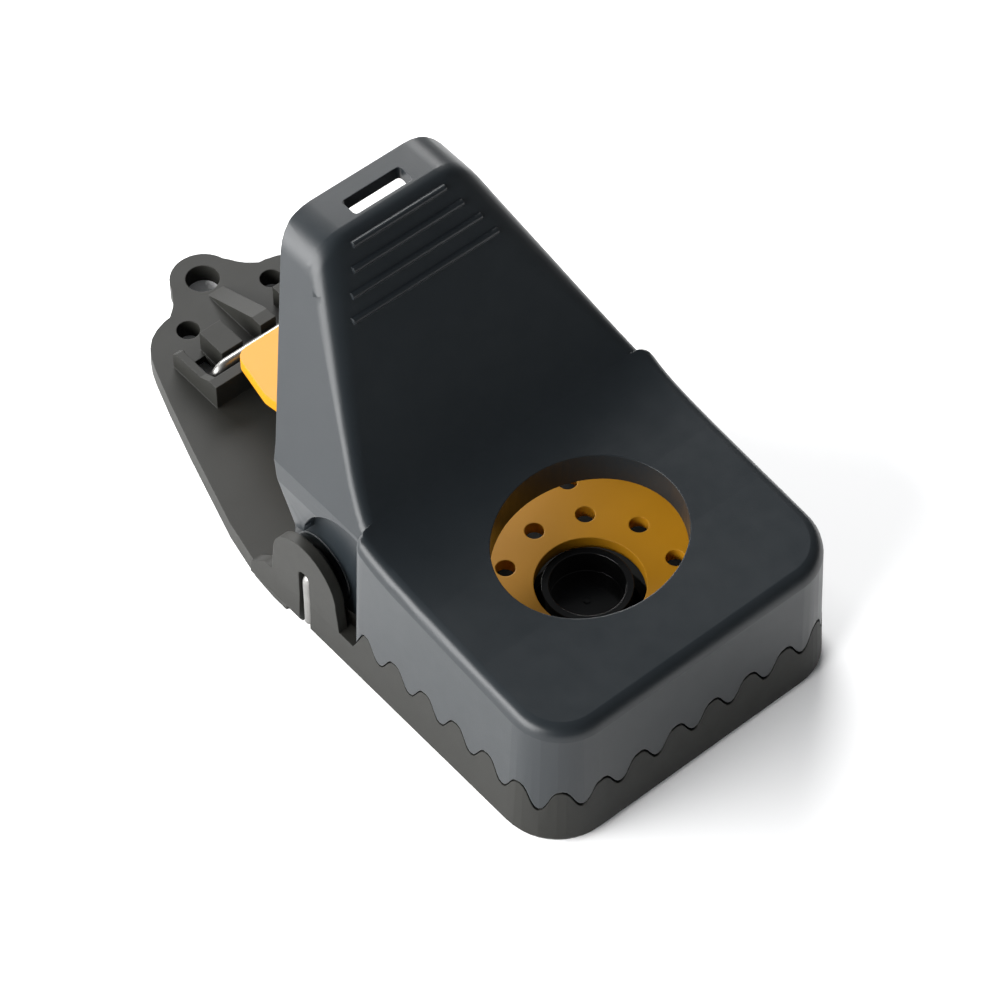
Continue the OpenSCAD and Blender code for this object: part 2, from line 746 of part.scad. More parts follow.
module bait_cup() {
    color([0.06, 0.06, 0.06])
    translate([0, cup_y, 0])
        difference() {
            union() {
                translate([0, 0, 0.3])
                    cylinder(r = flange_r, h = flange_t);
                translate([0, 0, 0.5])
                    cylinder(r = cup_r, h = cup_top - 0.5);
                // two keys above the floor
                for (a = [0, 180])
                    rotate([0, 0, a])
                        translate([0, -1.4, floor_z + floor_t + 0.1])
                            cube([cup_r + 1.2, 2.8, 1.4]);
            }
            // bait hollow with the moulding mark in the middle of its floor
            translate([0, 0, 9.6 * kz])
                difference() {
                    cylinder(r = cup_r - 0.9, h = 20);
                    translate([0, 0, -1])
                        cylinder(r = 0.4, h = 1.18);
                }
            // hollow from beneath, with a finger bar
            difference() {
                translate([0, 0, -1])
                    cylinder(r = cup_r - 1.2, h = 9.6 * kz);
                translate([-1, -cup_r, 0])
                    cube([2, 2 * cup_r, 20]);
            }
        }
}

// ---------- wires ----------

module hinge_wire() {
    color([0.72, 0.73, 0.74]) {
        translate([-pin_out + bend_r, hy, hz])
            rotate([0, 90, 0])
                cylinder(r = wr, h = 2 * (pin_out - bend_r), $fn = 32);
        for (s = [-1, 1]) {
            translate([s * (pin_out - bend_r), hy, hz - bend_r])
                rotate([90, 0, 0])
                    rotate([0, 0, s > 0 ? 0 : 90])
                        rotate_extrude(angle = 90, $fn = 64)
                            translate([bend_r, 0])
                                circle(r = wr, $fn = 32);
            translate([s * pin_out, hy, 0.9])
                cylinder(r = wr, h = hz - bend_r - 0.9, $fn = 32);
        }
    }
}

// Round bend between two straight runs: points on the arc at corner b, from a towards c.
function unit(v) = v / norm(v);
function bend(a, b, c, r, n) =
    let (u = unit(a - b), w = unit(c - b), h = acos(u * w) / 2, m = unit(u + w),
         o = b + m * r / sin(h), t = r / tan(h), e = unit(b + u * t - o),
         g = unit(cross(cross(e, w), e)) * (cross(e, w) * cross(e, w) > 0 ? 1 : -1),
         s = 180 - 2 * h)
    [for (i = [0:n]) o + r * (e * cos(s * i / n) + g * sin(s * i / n))];

deck_under = deck_top - deck_t;
leg_z = deck_under - sr - 0.15;
coil_pitch = (arm_x - leg_x) / coil_turns;
arm_tip = [arm_x, -8.15 * ky, 24.6 * kz];
// The coil starts at the front of the hinge wire and ends under it.
turn_deg = 360 * (coil_turns - 1) + 90;
function coil_pt(i, n) =
    let (a = 180 + turn_deg * i / n, x = arm_x - (arm_x - leg_x) * i / n)
    [x, hy + coil_r * cos(a), hz + coil_r * sin(a)];
coil_n = 8 * coil_turns;
p0 = [leg_x, hy, hz - coil_r];
p1 = [leg_x, hy + 1.2, hz - coil_r];
p2 = [leg_x, deck_front + 4.2, leg_z];
p3 = [leg_x - 0.02, cross_y, leg_z];
p4 = [loop_x, cross_y, cross_z];
p5 = [0, cross_y, cross_z];
half_path = concat(
    [arm_tip],
    [for (i = [0:coil_n]) coil_pt(i, coil_n)],
    bend(p0, p1, p2, 2.2, 3),
    bend(p1, p2, p3, 2.2, 3),
    bend(p2, p3, p4, 1.6, 5),
    bend(p3, p4, p5, 2.3, 6));
function mirror_x(p) = [-p[0], p[1], p[2]];
spring_path = concat(half_path, [for (i = [len(half_path) - 1:-1:0]) mirror_x(half_path[i])]);

function tang(p, i) = unit(p[min(i + 1, len(p) - 1)] - p[max(i - 1, 0)]);
function carry(u, t) = unit(u - (u * t) * t);
function normals(p, i, u) =
    i >= len(p) ? [] : let (v = carry(u, tang(p, i))) concat([v], normals(p, i + 1, v));

// Least distance between parts of the path that are not neighbours along it.
far = [for (i = [0:2:len(spring_path) - 1]) for (j = [i + 6:2:len(spring_path) - 1])
       norm(spring_path[i] - spring_path[j])];
echo(spring_gap_to_itself = min(far) - spring_d);

module tube(path, r, sides) {
    nn = normals(path, 0, [1, 0, 0]);
    n = len(path);
    pts = [for (i = [0:n - 1]) let (t = tang(path, i), u = nn[i], v = cross(t, u))
           for (k = [0:sides - 1]) path[i] + r * (cos(360 * k / sides) * u + sin(360 * k / sides) * v)];
    walls = [for (i = [0:n - 2]) for (k = [0:sides - 1])
             let (a = i * sides + k, b = i * sides + (k + 1) % sides)
             each [[a, b + sides, b], [a, a + sides, b + sides]]];
    caps = concat([for (k = [1:sides - 2]) [0, k, k + 1]],
           [for (k = [1:sides - 2]) [(n - 1) * sides, (n - 1) * sides + k + 1, (n - 1) * sides + k]]);
    polyhedron(points = pts, faces = concat(walls, caps), convexity = 10);
}

module main_spring() {
    color([0.7, 0.71, 0.72])
        tube(spring_path, sr, 8);
}

base_tray();
jaw_lever();
trigger_plate();
bait_cup();
hinge_wire();
main_spring();
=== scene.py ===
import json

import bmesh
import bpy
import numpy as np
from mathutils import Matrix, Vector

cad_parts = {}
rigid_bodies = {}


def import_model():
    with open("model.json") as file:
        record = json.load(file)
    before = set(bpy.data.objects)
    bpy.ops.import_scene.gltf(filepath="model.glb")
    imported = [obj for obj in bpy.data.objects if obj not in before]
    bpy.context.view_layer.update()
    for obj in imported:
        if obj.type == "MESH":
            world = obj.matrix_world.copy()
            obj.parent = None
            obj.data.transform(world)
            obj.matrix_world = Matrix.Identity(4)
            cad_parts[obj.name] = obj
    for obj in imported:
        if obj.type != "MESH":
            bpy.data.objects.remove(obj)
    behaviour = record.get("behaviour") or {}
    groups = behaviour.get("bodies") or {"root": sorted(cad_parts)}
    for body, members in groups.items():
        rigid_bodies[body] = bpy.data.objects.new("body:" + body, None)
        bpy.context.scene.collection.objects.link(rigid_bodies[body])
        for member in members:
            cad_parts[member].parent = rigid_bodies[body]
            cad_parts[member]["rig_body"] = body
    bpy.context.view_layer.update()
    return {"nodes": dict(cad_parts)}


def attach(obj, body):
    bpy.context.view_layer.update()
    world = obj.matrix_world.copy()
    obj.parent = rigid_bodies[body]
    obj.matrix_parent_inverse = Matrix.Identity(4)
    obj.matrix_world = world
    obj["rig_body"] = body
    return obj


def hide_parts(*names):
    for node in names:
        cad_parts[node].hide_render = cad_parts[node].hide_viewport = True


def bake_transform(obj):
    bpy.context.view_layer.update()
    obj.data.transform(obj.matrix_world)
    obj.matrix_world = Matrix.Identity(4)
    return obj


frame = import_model()

# %% [markdown]
# # A jaw snap trap in moulded plastic and steel wire
# The trap has a toothed base, a toothed jaw whose lever is pressed down to set it, a
# yellow trigger plate, a black bait cup, a hinge wire and a torsion spring.
# The shapes of the moulded pieces come from the frame. This file gives them their edges
# and finishes, and it makes the two wires anew as smooth swept surfaces.

MM = 0.001
nodes = frame["nodes"]
print("pieces in the frame:", ", ".join(sorted(nodes)))

# %% [markdown]
# ## Writing a finish as arithmetic
# Each finish is a small graph of shader nodes. A graph is hard to read as a list of
# nodes, so `Value` wraps one socket and lets + - * work on it, and `Finish` adds any
# other node by its type. A formula in the text is then a formula in the material.

# %% Shader arithmetic
class Value:
    """One shader socket that carries a number. Each operator adds a Math node."""

    def __init__(self, finish, socket):
        self.finish, self.socket = finish, socket

    def _math(self, operation, a, b):
        out = self.finish.node("ShaderNodeMath", {"operation": operation}, {0: a, 1: b})
        return Value(self.finish, out)

    def __add__(self, other):
        return self._math("ADD", self, other)

    def __radd__(self, other):
        return self._math("ADD", other, self)

    def __sub__(self, other):
        return self._math("SUBTRACT", self, other)

    def __rsub__(self, other):
        return self._math("SUBTRACT", other, self)

    def __mul__(self, other):
        return self._math("MULTIPLY", self, other)

    def __rmul__(self, other):
        return self._math("MULTIPLY", other, self)

    def clipped(self):
        """The same value kept between 0 and 1."""
        return self._math("MINIMUM", self._math("MAXIMUM", self, 0.0), 1.0)


print("a Value can be added, subtracted, multiplied and clipped")

# %% [markdown]
# ## A material that is easy to fill
# A new material already holds a Principled shader, which covers plastic and metal alike.
# `Finish` keeps that shader at hand and has one way to add a node of any type. What is
# the same all over the surface is set on the shader itself.

# %% Materials
class Finish:
    """A material and the few ways in which its nodes are added."""

    def __init__(self, name):
        self.material = bpy.data.materials.new(name)
        self.material.use_nodes = True
        self.tree = self.material.node_tree
        self.shader = self.tree.nodes["Principled BSDF"]

    def node(self, kind, settings=None, inputs=None, out=0):
        """Adds a node of any type, sets it up, links or fills its inputs, returns an output."""
        made = self.tree.nodes.new(kind)
        for key, value in (settings or {}).items():
            setattr(made, key, value)
        for key, value in (inputs or {}).items():
            self.feed(made.inputs[key], value)
        return made.outputs[out]

    def feed(self, socket, value):
        """Links a socket or a Value, or sets a plain number or colour."""
        source = value.socket if isinstance(value, Value) else value
        if isinstance(source, bpy.types.NodeSocket):
            self.tree.links.new(source, socket)
        else:
            socket.default_value = source

    def noise(self, places, scale, detail=2.0, rough=0.5):
        """Smooth random value around 0.5, with features about 1/scale metres wide."""
        out = self.node("ShaderNodeTexNoise", {"noise_dimensions": "3D"},
                        {"Vector": places, "Scale": scale, "Detail": detail,
                         "Roughness": rough})
        return Value(self, out)

    def mix(self, share, first, second):
        """Colour that goes from first to second as share goes from 0 to 1."""
        return self.node("ShaderNodeMix", {"data_type": "RGBA"},
                         {0: share, 6: first, 7: second}, out=2)

    def set(self, **constants):
        """Sets shader inputs that are the same all over the surface."""
        for key, value in constants.items():
            self.shader.inputs[key.replace("_", " ")].default_value = value


OBJECT_PLACE = 3  # the output of Texture Coordinate that says where a point is on its piece
TRUE_NORMAL = 1   # the output of Geometry that ignores smoothing and bumps
print("a Finish starts from the Principled shader")

# %% [markdown]
# ## Moulded plastic
# Injection moulded plastic copies the mould: a fine, even spark-eroded grain of about a
# tenth of a millimetre, and slow changes of gloss where the melt flowed. Its edges are
# never quite sharp. The rounding is a few tenths of a millimetre, too small to be worth
# modelling on every edge, so a Bevel node turns the normal near each edge instead. The
# same edge mask also paints the edges a little paler, as a painted highlight.

# %% Plastic finish
FLOW_SCALE, CLOUD_SCALE, GRAIN_SCALE = 55.0, 340.0, 7000.0  # features of 18, 3 and 0.14 mm
NOISE_MIDDLE = 0.5                    # a noise is as often above this as below
FLOW_SHARE, CLOUD_SHARE, TONE_FLOOR = 0.55, 0.45, 0.25
RIM_GAIN = 2.4                        # how soon a turn of the normal counts as an edge
# Edges go to the pale colour as a painted highlight; the clouds are the plastic's own tone.
EDGE_HIGHLIGHT_PALE, TONE_PALE = 0.3, 0.35       # how far edges and clouds go to the pale colour
GLOSS_SPREAD = 0.1                    # how much the clouds change the gloss
RIM_POLISH, GRAIN_DULL = 0.06, 0.05   # edges wear smoother, and the grain scatters a little
GRAIN_STRENGTH = 0.35


def moulded(name, colour, pale, rough, grain=0.02 * MM, edge=0.18 * MM, shine=0.5):
    """Plastic with grain, cloudy gloss, soft edges with a painted highlight, and slightly
    polished high places.

    The edge mask is 1 less the dot product of the rounded and the true normal, times
    RIM_GAIN. It is 0 on flats and grows at edges. The tone is a weighted mean of the slow
    flow and the finer clouds, less its floor. Colour goes from colour to pale with both: with
    the edge mask this is a painted highlight along every edge, and with the tone it is the
    plastic's own cloudiness.
    Roughness is rough, plus a share of how far each noise is from its middle, less some at
    the edges. The grain is the height of the bumps in metres.
    """
    f = Finish(name)
    at = f.node("ShaderNodeTexCoord", out=OBJECT_PLACE)
    flow = f.noise(at, FLOW_SCALE, 3.0)
    cloud = f.noise(at, CLOUD_SCALE, 4.0, 0.6)
    fine = f.noise(at, GRAIN_SCALE, 2.0, 0.55)
    rounded = f.node("ShaderNodeBevel", {"samples": 6}, {"Radius": edge})
    true = f.node("ShaderNodeNewGeometry", out=TRUE_NORMAL)
    facing = Value(f, f.node("ShaderNodeVectorMath", {"operation": "DOT_PRODUCT"},
                             {0: rounded, 1: true}, out=1))
    rim = ((1.0 - facing) * RIM_GAIN).clipped()
    tone = (flow * FLOW_SHARE + cloud * CLOUD_SHARE - TONE_FLOOR).clipped()
    # The edge mask turns the colour paler along the edges as a painted highlight. The tone is
    # the plastic's own cloudy colour.
    f.feed(f.shader.inputs["Base Color"],
           f.mix((rim * EDGE_HIGHLIGHT_PALE + tone * TONE_PALE).clipped(), colour, pale))
    f.feed(f.shader.inputs["Roughness"],
           (rough + (cloud - NOISE_MIDDLE) * GLOSS_SPREAD
            + (flow - NOISE_MIDDLE) * GLOSS_SPREAD
            - rim * RIM_POLISH + (fine - NOISE_MIDDLE) * GRAIN_DULL).clipped())
    f.feed(f.shader.inputs["Normal"],
           f.node("ShaderNodeBump", None,
                  {"Strength": GRAIN_STRENGTH, "Distance": grain, "Height": fine,
                   "Normal": rounded}))
    f.set(IOR=1.49, Specular_IOR_Level=shine)
    print(name, "has", len(f.tree.nodes), "nodes")
    return f


jaw_plastic = moulded("jaw_plastic", (0.0085, 0.0112, 0.0135, 1), (0.019, 0.023, 0.026, 1),
                      rough=0.36, shine=0.36)
base_plastic = moulded("base_plastic", (0.0105, 0.0105, 0.0090, 1), (0.021, 0.021, 0.018, 1),
                       rough=0.58, shine=0.23)
trigger_plastic = moulded("trigger_plastic", (0.39, 0.172, 0.006, 1), (0.48, 0.245, 0.015, 1),
                          rough=0.46, shine=0.22)
cup_plastic = moulded("cup_plastic", (0.003, 0.003, 0.003, 1), (0.008, 0.008, 0.007, 1),
                      rough=0.16, grain=0.006 * MM)

# %% [markdown]
# ## Smooth skins for the moulded pieces
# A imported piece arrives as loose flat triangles, which shade like a cut stone. Welding a
# copy, marking only the real corners as sharp and weighting the normals by face area
# gives long even highlights and keeps every flat face flat.

# %% Welded copies
WELD_GAP = 2e-6                # corners nearer than this, in metres, are one corner
FLAT_TURN = np.radians(0.6)    # faces that turn by less than this lie in one plane
SHARP_TURN = np.radians(24.0)  # faces that turn by more than this meet at a real edge


def welded(node, finish):
    """Copy of a frame piece with shared corners, smooth up to a turn of SHARP_TURN.

    Triangles that lie in one plane are joined first, so a long thin one next to a small
    detail can't pull the shading of the whole flat with it.
    """
    mesh = nodes[node].data.copy()
    bm = bmesh.new()
    bm.from_mesh(mesh)
    bmesh.ops.remove_doubles(bm, verts=bm.verts, dist=WELD_GAP)
    bmesh.ops.dissolve_degenerate(bm, edges=bm.edges, dist=WELD_GAP)
    bmesh.ops.dissolve_limit(bm, angle_limit=FLAT_TURN, verts=bm.verts, edges=bm.edges)
    bm.to_mesh(mesh)
    bm.free()
    mesh.materials.clear()
    mesh.materials.append(finish.material)
    mesh.shade_smooth()
    mesh.set_sharp_from_angle(angle=SHARP_TURN)
    piece = bpy.data.objects.new(node + "_skin", mesh)
    bpy.context.scene.collection.objects.link(piece)
    even = piece.modifiers.new("even_normals", "WEIGHTED_NORMAL")
    even.keep_sharp = True
    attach(piece, nodes[node]["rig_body"])
    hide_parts(node)
    print(node, "welded to", len(mesh.vertices), "corners and", len(mesh.polygons), "faces")
    return piece


base_tray = welded("base_tray", base_plastic)
jaw_lever = welded("jaw_lever", jaw_plastic)
trigger_plate = welded("trigger_plate", trigger_plastic)
bait_cup = welded("bait_cup", cup_plastic)

# %% [markdown]
# ## The rib inside the lever
# The catch rib inside the lever is as wide as the lever, so at its two front ends it just
# comes through the rounded edge. Those corners are drawn in to the surface. They are
# picked out by their place: far from the middle, on the front face and near the top.

# %% Rib ends
RIB_HALF, RIB_FRONT, RIB_BACK, RIB_LOW, RIB_HIGH = 13.2, 3.2, 3.9, 44.0, 44.6
DRAWN_TO, DRAWN_TO_HIGH = 13.14, 12.66  # half widths of the lever's skin at those heights

corners = np.zeros(len(jaw_lever.data.vertices) * 3)
jaw_lever.data.vertices.foreach_get("co", corners)
corners = corners.reshape(-1, 3)
far = np.abs(corners) / MM
rib_end = ((far[:, 0] > RIB_HALF) & (corners[:, 1] > RIB_FRONT * MM)
           & (far[:, 1] < RIB_BACK) & (far[:, 2] > RIB_LOW))
upper = rib_end & (far[:, 2] > RIB_HIGH)
corners[rib_end, 0] = np.sign(corners[rib_end, 0]) * DRAWN_TO * MM
corners[upper, 0] = np.sign(corners[upper, 0]) * DRAWN_TO_HIGH * MM
print("rib corners drawn in:", int(rib_end.sum()))

# %% [markdown]
# ## The line between the teeth
# Moulded teeth never close quite flush, and the line between the two rows stays open and
# dark. The upper row is lifted by a sixth of a millimetre: every face of the jaw that is
# low down, ahead of the ears and looks downwards moves up as it is.

# %% Bite line
LIFT = 0.17 * MM
TOOTH_TOP, EARS_FRONT = 14.5 * MM, -13.7 * MM
LOOKS_DOWN = -0.2

low = [face for face in jaw_lever.data.polygons
       if face.center.z < TOOTH_TOP and face.center.y < EARS_FRONT
       and face.normal.z < LOOKS_DOWN]
teeth = np.unique(np.concatenate([face.vertices[:] for face in low]))
corners[teeth, 2] += LIFT
jaw_lever.data.vertices.foreach_set("co", corners.ravel())
jaw_lever.data.update()
print("tooth corners lifted:", len(teeth), "by", round(LIFT / MM, 2), "mm")

# %% [markdown]
# ## A round wire as a surface
# A wire is a circle carried along a path. The circle needs a direction of its own at each
# point, and if that is worked out from the world's axes, the surface twists where the
# path turns. Here each direction comes from the one before it, so it never does.

# %% Circles along a path
def without_twist(path):
    """Unit directions ahead, and across the path, at each of its points.

    The one across is the one before it, less its part along the new direction ahead, made
    one long again. The first comes from a direction that only has to differ from the path's.
    """
    ahead = np.gradient(path, axis=0)
    ahead /= np.linalg.norm(ahead, axis=1)[:, None]
    side = np.zeros_like(path)
    across = np.array([1.0, 0.02, 0.01])
    for i, t in enumerate(ahead):
        across = across - (across @ t) * t
        across /= np.linalg.norm(across)
        side[i] = across
    return ahead, side


END_INSET, END_RISE, END_CROWN = 0.86, 0.12, 0.16  # of the radius, for a cut and dressed end


def wire_corners(path, radius, sides, flat_end):
    """Corners of the wire: all its rings one after the other, then the two middle points.

    Ring i is path[i] + radius (cos a side_i + sin a other_i), where a goes round once and
    other is square to both ahead and side. An end is a smaller ring and a middle point,
    each a little further out, and with flat_end the last one is a plain disc.
    """
    ahead, side = without_twist(path)
    other = np.cross(ahead, side)
    a = np.linspace(0, 2 * np.pi, sides, endpoint=False)
    ring = (path[:, None] + radius * (np.cos(a)[None, :, None] * side[:, None]
                                      + np.sin(a)[None, :, None] * other[:, None]))
    rise, crown = END_RISE * radius, END_CROWN * radius
    last_rise, last_crown = (0.0, 0.0) if flat_end else (rise, crown)
    front = path[0] + (ring[0] - path[0]) * END_INSET - ahead[0] * rise
    back = path[-1] + (ring[-1] - path[-1]) * END_INSET + ahead[-1] * last_rise
    rings = np.concatenate([[front], ring, [back]])
    return np.concatenate([rings.reshape(-1, 3), [path[0] - ahead[0] * crown],
                           [path[-1] + ahead[-1] * last_crown]])


print("an end is", END_INSET, "as wide as the wire and rises by", END_CROWN, "of its radius")

# %% [markdown]
# ## The wire's faces and its own map
# The finish of drawn steel runs along the wire, so it needs to know which way that is.
# Each wire carries its own UV map, with u round it and v along it, worked out in the same
# order as its corners.

# %% Faces and map
UV_PER_METRE = 10
END_EDGE = np.radians(50)


def wire_faces(n, sides):
    """Quads between each ring and the next, then a fan of triangles over either end.

    Corner k of ring i has the number i * sides + k, and k + 1 goes back to 0 at the seam.
    """
    i, k = np.meshgrid(np.arange(n - 1), np.arange(sides), indexing="ij")
    k2 = (k + 1) % sides
    quads = np.stack([i * sides + k, i * sides + k2, (i + 1) * sides + k2,
                      (i + 1) * sides + k], -1).reshape(-1, 4)
    k = np.arange(sides)
    k2 = (k + 1) % sides
    last = (n - 1) * sides
    start_fan = np.stack([np.full(sides, n * sides), k2, k], 1)
    end_fan = np.stack([np.full(sides, n * sides + 1), last + k, last + k2], 1)
    return quads.tolist() + start_fan.tolist() + end_fan.tolist()


def lay_map(mesh, along, n, sides):
    """UV map: u is k / sides, and v the length of wire up to the ring, scaled."""
    uv = mesh.uv_layers.new(name="wire")
    v = np.concatenate([[along[0]], along, [along[-1]]])
    place = np.zeros((len(mesh.loops), 2), np.float32)
    index = np.zeros(len(mesh.loops), np.int32)
    mesh.loops.foreach_get("vertex_index", index)
    inside = index < n * sides
    place[:, 0] = np.where(inside, (index % sides) / sides, 0.5)
    v_there = np.where(inside, v[np.minimum(index // sides, n - 1)], 0.0)
    place[:, 1] = v_there * UV_PER_METRE
    uv.data.foreach_set("uv", place.ravel())


def swept(name, path, radius, finish, sides=24, flat_end=False):
    """Round wire along a path, closed at both ends: wire_corners joined by wire_faces."""
    path = np.asarray(path, float)
    rings = len(path) + 2
    mesh = bpy.data.meshes.new(name)
    mesh.from_pydata(wire_corners(path, radius, sides, flat_end), [],
                     wire_faces(rings, sides))
    along = np.concatenate([[0], np.cumsum(np.linalg.norm(np.diff(path, axis=0), axis=1))])
    lay_map(mesh, along, rings, sides)
    mesh.materials.append(finish.material)
    mesh.shade_smooth()
    mesh.set_sharp_from_angle(angle=END_EDGE)
    mesh.validate()
    mesh.update()
    piece = bpy.data.objects.new(name, mesh)
    bpy.context.scene.collection.objects.link(piece)
    print(name, "is", round(along[-1] / MM, 1), "mm of wire in", len(mesh.polygons), "faces")
    return piece


print("a metre of wire is", UV_PER_METRE, "high on its map")

# %% [markdown]
# ## Drawn steel
# Both wires are steel that was pulled through a die. The die leaves faint lines along the
# wire, and handling leaves patches of tarnish. The lines are a noise that is squeezed
# round the wire and stretched along it.

# %% Steel finish
LINES_ROUND, LINES_ALONG = 60.0, 1.2           # lines per turn and per unit of the map
TARNISH_SCALE = 420.0                          # patches of about 2 mm
TARNISH_GAIN, TARNISH_FLOOR = 0.9, 0.15
STEEL_ROUGH, LINES_DULL, TARNISH_DULL = 0.24, 0.18, 0.12
BRIGHT, DULL = (0.27, 0.267, 0.26, 1), (0.12, 0.117, 0.11, 1)


def drawn_steel(name):
    """Grey steel whose lines run along v, with a little tarnish.

    Colour goes from BRIGHT to DULL with the tarnish, roughness grows with the lines and
    with the tarnish, and the lines are also the height of the bumps.
    """
    f = Finish(name)
    uv = f.node("ShaderNodeUVMap", {"uv_map": "wire"})
    stretched = f.node("ShaderNodeMapping", None,
                       {"Vector": uv, "Scale": (LINES_ROUND, LINES_ALONG, 1.0)})
    lines = f.noise(stretched, 1.0, 4.0, 0.6)
    at = f.node("ShaderNodeTexCoord", out=OBJECT_PLACE)
    tarnish = f.noise(at, TARNISH_SCALE, 4.0, 0.6)
    f.feed(f.shader.inputs["Base Color"],
           f.mix((tarnish * TARNISH_GAIN - TARNISH_FLOOR).clipped(), BRIGHT, DULL))
    f.feed(f.shader.inputs["Roughness"],
           (STEEL_ROUGH + lines * LINES_DULL + tarnish * TARNISH_DULL).clipped())
    f.feed(f.shader.inputs["Normal"],
           f.node("ShaderNodeBump", None,
                  {"Strength": 0.3, "Distance": 0.03 * MM, "Height": lines}))
    f.set(Metallic=1.0)
    print(name, "has", len(f.tree.nodes), "nodes")
    return f


steel = drawn_steel("drawn_steel")

# %% [markdown]
# ## Bending wire
# A bent wire is straight runs joined by round bends. Two helpers give the points of each,
# in millimetres, and a path is then written down as the corners it would have if it were
# bent sharply.

# %% Runs and bends
def rounded_corner(a, b, c, r, n):
    """n points of the arc of radius r that rounds the corner b between a and c.

    The arc's centre lies on the corner's bisector at r / sin(h), h being half the corner,
    and it touches the two runs at r / tan(h) from b. A point is a weighted sum of the two
    spokes to those places, as on a great circle.
    """
    a, b, c = (np.asarray(p, float) for p in (a, b, c))
    u, w = (a - b) / np.linalg.norm(a - b), (c - b) / np.linalg.norm(c - b)
    h = np.arccos(np.clip(u @ w, -1, 1)) / 2
    m = (u + w) / np.linalg.norm(u + w)
    o = b + m * r / np.sin(h)
    e = (b + u * r / np.tan(h) - o) / r
    g = (b + w * r / np.tan(h) - o) / r
    s = np.arccos(np.clip(e @ g, -1, 1))
    t = np.linspace(0, 1, n)[:, None]
    return o + r * (np.sin((1 - t) * s) * e + np.sin(t * s) * g) / np.sin(s)


def straight(a, b, n):
    """n points evenly from a to b, without a itself or b: (1 - t) a + t b."""
    t = np.linspace(0, 1, n + 2)[1:-1, None]
    return (1 - t) * np.asarray(a, float) + t * np.asarray(b, float)


print("a quarter bend of 1 mm starts at",
      rounded_corner((0, 9, 0), (0, 0, 0), (9, 0, 0), 1.0, 3)[0].round(2))

# %% [markdown]
# ## The hinge wire
# The jaw and the trigger turn on one straight axle. Both its ends are bent down into
# slots in the base, which keeps it from turning or sliding out.

# %% Hinge wire
HINGE = np.array([0.0, -4.6, 9.4])
HINGE_R = 0.7
PIN_OUT, PIN_BEND, PIN_FOOT = 22.75, 1.0, 0.9

corner_a, corner_b = (-PIN_OUT, HINGE[1], HINGE[2]), (PIN_OUT, HINGE[1], HINGE[2])
foot_a, foot_b = (-PIN_OUT, HINGE[1], PIN_FOOT), (PIN_OUT, HINGE[1], PIN_FOOT)
leg_a, leg_b = [(x, HINGE[1], HINGE[2] - PIN_BEND) for x in (-PIN_OUT, PIN_OUT)]
axle_a, axle_b = [(x, HINGE[1], HINGE[2]) for x in (-PIN_OUT + PIN_BEND, PIN_OUT - PIN_BEND)]
pin_path = np.concatenate([
    [foot_a], straight(foot_a, leg_a, 6),
    rounded_corner(foot_a, corner_a, corner_b, PIN_BEND, 12),
    straight(axle_a, axle_b, 40),
    rounded_corner(corner_a, corner_b, foot_b, PIN_BEND, 12),
    straight(leg_b, foot_b, 6), [foot_b]])

hinge_wire = swept("hinge_wire_drawn", pin_path * MM, HINGE_R * MM, steel)
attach(hinge_wire, "base")
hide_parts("hinge_wire")

# %% [markdown]
# ## The spring's coil
# Half of the spring starts with an arm inside the lever, winds round the axle, runs back
# under the deck and comes up as a cross wire at the rear. The coil moves sideways as it
# winds, from the arm to the leg.

# %% Coil
SPRING_R = 0.75
LEG_X, ARM_X = 10.0, 16.6125
HINGE_PLAY, COIL_PLAY = 0.05, 0.15
COIL_R = HINGE_R + HINGE_PLAY + COIL_PLAY + SPRING_R
COIL_TURNS, COIL_POINTS, COIL_EASE = 2, 90, 0.1

# The arm leaves the coil as a tangent, so the coil starts where the line from the tip
# touches its circle, and it ends at the bottom, where the leg leaves it towards the rear.
tip = np.array([ARM_X, -8.15, 24.6])
reach = np.hypot(tip[1] - HINGE[1], tip[2] - HINGE[2])
start = np.arctan2(tip[2] - HINGE[2], tip[1] - HINGE[1]) + np.arccos(COIL_R / reach)
turn = 1.5 * np.pi + 2 * COIL_TURNS * np.pi - start
t = np.linspace(0, 1, COIL_POINTS)
# sideways speed eases in and out, so the arm and the leg join the coil without a kink
speed = np.minimum(np.minimum(t, 1 - t) / COIL_EASE, 1.0)
side_step = np.concatenate([[0], np.cumsum((speed[1:] + speed[:-1]) / 2)])
side_step /= side_step[-1]
coil = np.stack([ARM_X - (ARM_X - LEG_X) * side_step,
                 HINGE[1] + COIL_R * np.cos(start + turn * t),
                 HINGE[2] + COIL_R * np.sin(start + turn * t)], 1)
print("the coil turns", round(turn / (2 * np.pi), 2), "times at", round(COIL_R, 2), "mm")

# %% [markdown]
# ## The spring's leg and cross wire
# Behind the coil the wire dips under the deck, runs back, turns up through it and then
# inwards. Each half is its own surface, and both end flat in the middle of the cross wire.

# %% Leg
DECK_FRONT = -1.0
LOOP_X, CROSS_Y, CROSS_Z = 9.8, 30.4, 5.6
DIP_Y, LOW_Y, LEG_Z = HINGE[1] + 1.2, DECK_FRONT + 4.2, 0.9  # the dip's start, end and depth
FLAT_FRONT, FLAT_BACK = DECK_FRONT + 6, CROSS_Y - 3          # the straight part of the leg
DIP_BEND, RISE_BEND, CROSS_BEND = 2.2, 1.6, 2.3
LEAN = 0.02  # the leg comes in by this much on its way to the rear

